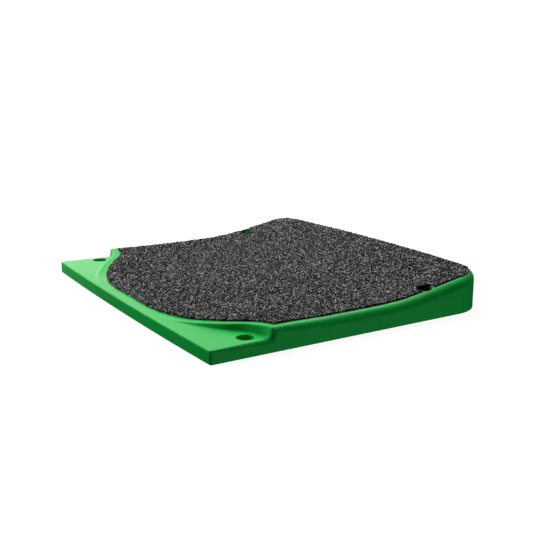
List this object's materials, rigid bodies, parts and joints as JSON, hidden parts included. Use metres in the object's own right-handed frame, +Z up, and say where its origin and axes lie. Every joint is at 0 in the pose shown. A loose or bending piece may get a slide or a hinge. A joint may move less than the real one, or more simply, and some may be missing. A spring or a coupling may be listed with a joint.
{
  "type": "foot pad",
  "caption": "Low wedge-shaped screw-down foot platform with a dished deck that kicks up at the rear, a thin front flange, sleeved screw seats and a bonded grit sheet.",
  "frame": {"origin": "centre of the bounding box, on the plane of the underside", "axes": "+X across the pad; +Y from the thin flange edge to the thick kicked-up end; +Z up, out of the deck"},
  "size_m": [0.23, 0.202, 0.0243],
  "materials": {
    "moulding": "glossy injection-moulded green plastic",
    "grit": "coarse black mineral grit on a film backing",
    "sleeve": "turned zinc-plated steel"
  },
  "bodies": {
    "root": {"pad_body": "moulding", "grit_sheet": "grit", "seat_sleeves": "sleeve"}
  },
  "joints": []
}
